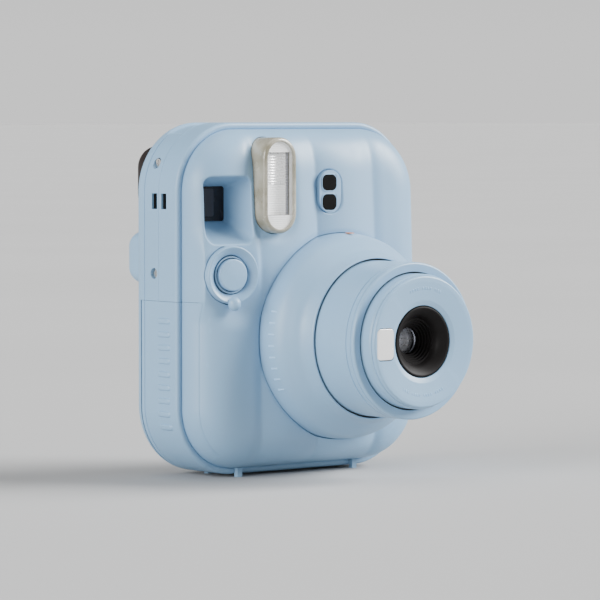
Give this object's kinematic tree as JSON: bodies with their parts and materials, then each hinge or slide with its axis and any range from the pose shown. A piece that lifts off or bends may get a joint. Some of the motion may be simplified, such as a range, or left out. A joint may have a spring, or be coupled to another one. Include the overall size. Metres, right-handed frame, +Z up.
{
  "type": "instant camera",
  "caption": "Rounded instant film camera with a pleated front, a lens barrel that extends and turns, flash, viewfinder, rear film door and side battery cover.",
  "frame": {"origin": "middle of the bounding box's underside, on the surface the camera stands on", "axes": "+Z up; the front and the lens face -Y; +X is to the right seen from the front"},
  "size_m": [0.104, 0.0936, 0.123],
  "materials": {
    "pastel_shell": "fine satin moulded plastic",
    "dark_trim": "dark satin plastic",
    "black_inner": "matt black plastic",
    "bezel_black": "glossy black plastic",
    "optic_glass": "coated glass",
    "clear_window": "clear plastic window",
    "smoke_window": "dark tinted plastic",
    "frosted_cover": "ribbed diffusing plastic",
    "bright_reflector": "metallised plastic",
    "mirror_face": "polished mirror",
    "steel": "bright plated steel",
    "white_gear": "natural acetal",
    "foam": "black flocked foam",
    "board_green": "solder mask over glass fibre",
    "cell_wrap": "printed film sleeve with no lettering",
    "orange_mark": "printed paint",
    "rubber_feet": "soft rubber"
  },
  "bodies": {
    "camera_body": {"front_shell": "pastel_shell", "rear_shell": "pastel_shell", "door_hinge_pin": "steel", "eyepiece_surround": "dark_trim", "feet": "rubber_feet", "lens_cowl": "pastel_shell", "index_mark": "orange_mark", "viewfinder_window": "smoke_window", "viewfinder_tube": "black_inner", "objective_lens": "optic_glass", "eyepiece_lens": "optic_glass", "flash_cover": "frosted_cover", "flash_reflector": "bright_reflector", "flash_tube": "optic_glass", "flash_capacitor": "black_inner", "sensor_plate": "pastel_shell", "sensor_windows": "smoke_window", "main_board": "board_green", "chassis": "black_inner", "light_baffle": "black_inner", "roller_bracket": "steel", "motor": "steel", "exit_seals": "foam", "battery_box": "black_inner", "batteries": "cell_wrap", "battery_contacts": "steel", "counter_axle": "black_inner", "button_seat": "dark_trim", "button_spring": "steel", "release_switch": "black_inner", "side_screws": "steel"},
    "lens_barrel": {"inner_barrel": "pastel_shell", "face_plate": "pastel_shell", "selfie_mirror": "mirror_face", "lens_bezel": "bezel_black", "front_lens": "optic_glass", "shutter_housing": "black_inner", "shutter_cover": "black_inner", "rear_lens": "optic_glass", "shutter_solenoid": "steel"},
    "lens_ring": {"lens_ring": "pastel_shell"},
    "left_blade": {"shutter_blade_left": "steel"},
    "right_blade": {"shutter_blade_right": "steel"},
    "release_button": {"shutter_button": "pastel_shell"},
    "self_timer": {"self_timer_lever": "pastel_shell"},
    "film_door": {"back_door": "pastel_shell", "film_window": "clear_window", "counter_window": "clear_window", "pressure_springs": "steel"},
    "latch": {"door_latch": "pastel_shell", "latch_spring": "steel"},
    "battery_cover": {"battery_door": "pastel_shell"},
    "drive_roller": {"drive_roller": "steel", "large_roller_gear": "white_gear", "small_roller_gear": "white_gear"},
    "pressure_roller": {"pressure_roller": "steel", "pressure_gear": "white_gear"},
    "motor_rotor": {"motor_pinion": "steel"},
    "film_claw": {"film_claw": "steel"},
    "frame_counter": {"counter_wheel": "white_gear"}
  },
  "joints": [
    {"name": "lens_extend", "type": "slide", "parent": "camera_body", "child": "lens_barrel", "axis": [0, -1, 0], "range_m": [-0.024, 0.003]},
    {"name": "lens_ring_turn", "type": "hinge", "parent": "lens_barrel", "child": "lens_ring", "pos_m": [0.0095, -0.02815, 0.0484], "axis": [0, -1, 0], "range_deg": [-90.5, 12]},
    {"name": "left_blade_swing", "type": "hinge", "parent": "lens_barrel", "child": "left_blade", "pos_m": [-0.0015, -0.0331, 0.0484], "axis": [0, 1, 0], "range_deg": [0, 45]},
    {"name": "right_blade_swing", "type": "hinge", "parent": "lens_barrel", "child": "right_blade", "pos_m": [0.0205, -0.0324, 0.0484], "axis": [0, 1, 0], "range_deg": [0, 45]},
    {"name": "shutter_release", "type": "slide", "parent": "camera_body", "child": "release_button", "axis": [0.1392, 0.9903, 0], "range_m": [0, 0.0015], "stiffness_N_per_m": 400, "springref_m": -0.0015},
    {"name": "self_timer_turn", "type": "hinge", "parent": "camera_body", "child": "self_timer", "pos_m": [-0.0382, -0.00135, 0.071], "axis": [-0.1392, -0.9903, 0], "range_deg": [-40, 0]},
    {"name": "film_door_open", "type": "hinge", "parent": "camera_body", "child": "film_door", "pos_m": [0.0465, 0.03445, 0.062], "axis": [0, 0, -1], "range_deg": [0, 90]},
    {"name": "latch_slide", "type": "slide", "parent": "camera_body", "child": "latch", "axis": [0, 0, -1], "range_m": [0, 0.004], "stiffness_N_per_m": 300, "springref_m": -0.003, "deforming": ["latch_spring"]},
    {"name": "battery_cover_off", "type": "slide", "parent": "camera_body", "child": "battery_cover", "axis": [-1, 0, 0], "range_m": [0, 0.02]},
    {"name": "drive_roller_spin", "type": "hinge", "parent": "camera_body", "child": "drive_roller", "pos_m": [0.0095, 0.01415, 0.108], "axis": [1, 0, 0], "continuous": true},
    {"name": "pressure_roller_spin", "type": "hinge", "parent": "camera_body", "child": "pressure_roller", "pos_m": [0.0095, 0.02055, 0.108], "axis": [1, 0, 0], "continuous": true},
    {"name": "motor_spin", "type": "hinge", "parent": "camera_body", "child": "motor_rotor", "pos_m": [-0.024, 0.02194, 0.11115], "axis": [1, 0, 0], "continuous": true},
    {"name": "claw_stroke", "type": "slide", "parent": "camera_body", "child": "film_claw", "axis": [0, 0, 1], "range_m": [0, 0.005]},
    {"name": "counter_turn", "type": "hinge", "parent": "camera_body", "child": "frame_counter", "pos_m": [-0.033, 0.03265, 0.074], "axis": [0, 1, 0], "continuous": true}
  ],
  "couplings": [
    {"joint": "lens_ring_turn", "follows": "lens_extend", "rad_per_m": 65.45},
    {"joint": "right_blade_swing", "follows": "left_blade_swing", "ratio": 1},
    {"joint": "pressure_roller_spin", "follows": "drive_roller_spin", "ratio": -1},
    {"joint": "motor_spin", "follows": "drive_roller_spin", "ratio": -3.2}
  ]
}
